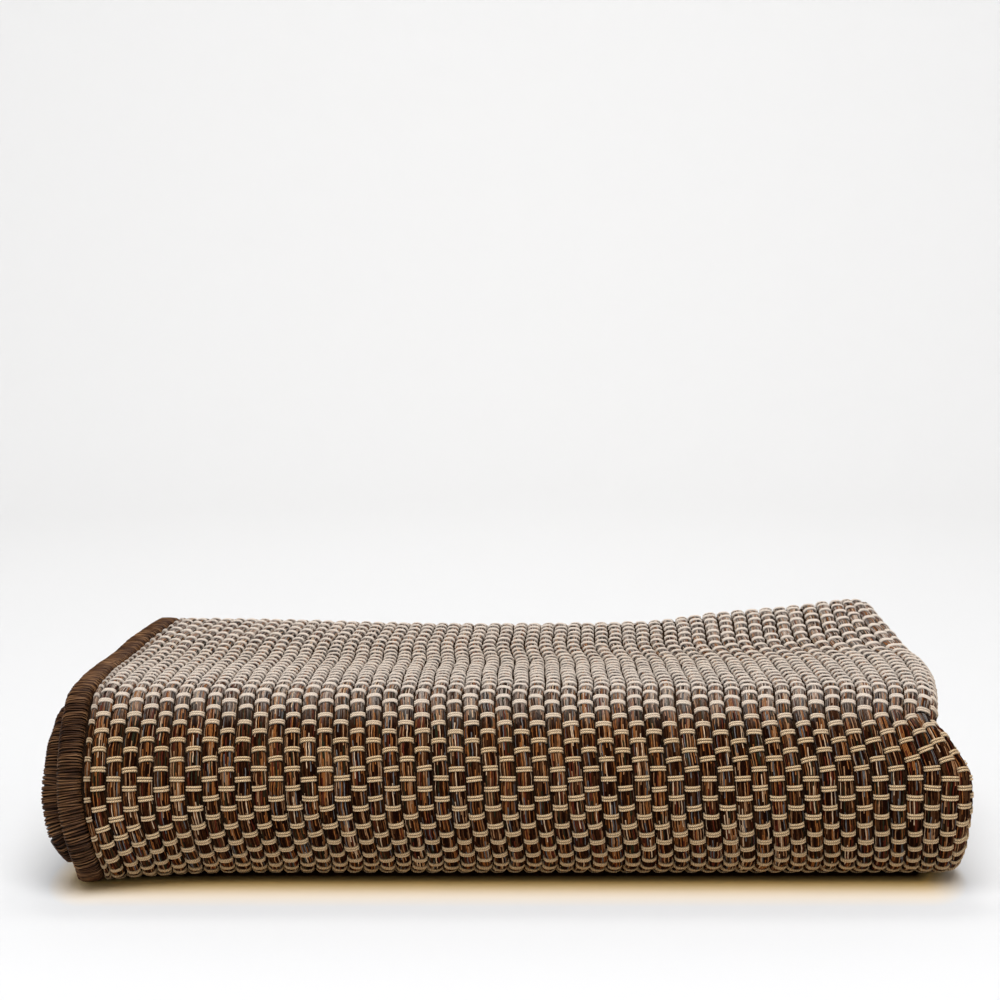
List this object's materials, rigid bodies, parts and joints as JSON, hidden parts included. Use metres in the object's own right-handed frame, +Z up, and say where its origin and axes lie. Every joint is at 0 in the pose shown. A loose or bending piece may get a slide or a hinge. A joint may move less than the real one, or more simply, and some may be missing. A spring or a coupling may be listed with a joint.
{
  "type": "folded woven fibre rug",
  "caption": "Thick woven rug folded three times into a rectangular stack, with a round turn at the front and a wrapped binding on both cut ends.",
  "frame": {"origin": "on the surface that the folded rug rests on, under the middle of its bounding box", "axes": "+X to the right along the front turn, away from the bound ends; +Y from the front turn to the back; +Z up"},
  "size_m": [0.4586, 0.2608, 0.1107],
  "materials": {
    "woven_yarn": "thick plain weave of mixed brown, rust, tan, cream and slate weft bundles crossed by pairs of pale plied yarn",
    "binding_yarn": "dark brown overcast yarn wrapped round the cut edge"
  },
  "bodies": {
    "root": {"rug_cloth": "woven_yarn", "outer_end_binding": "binding_yarn", "inner_end_binding": "binding_yarn"}
  },
  "joints": []
}
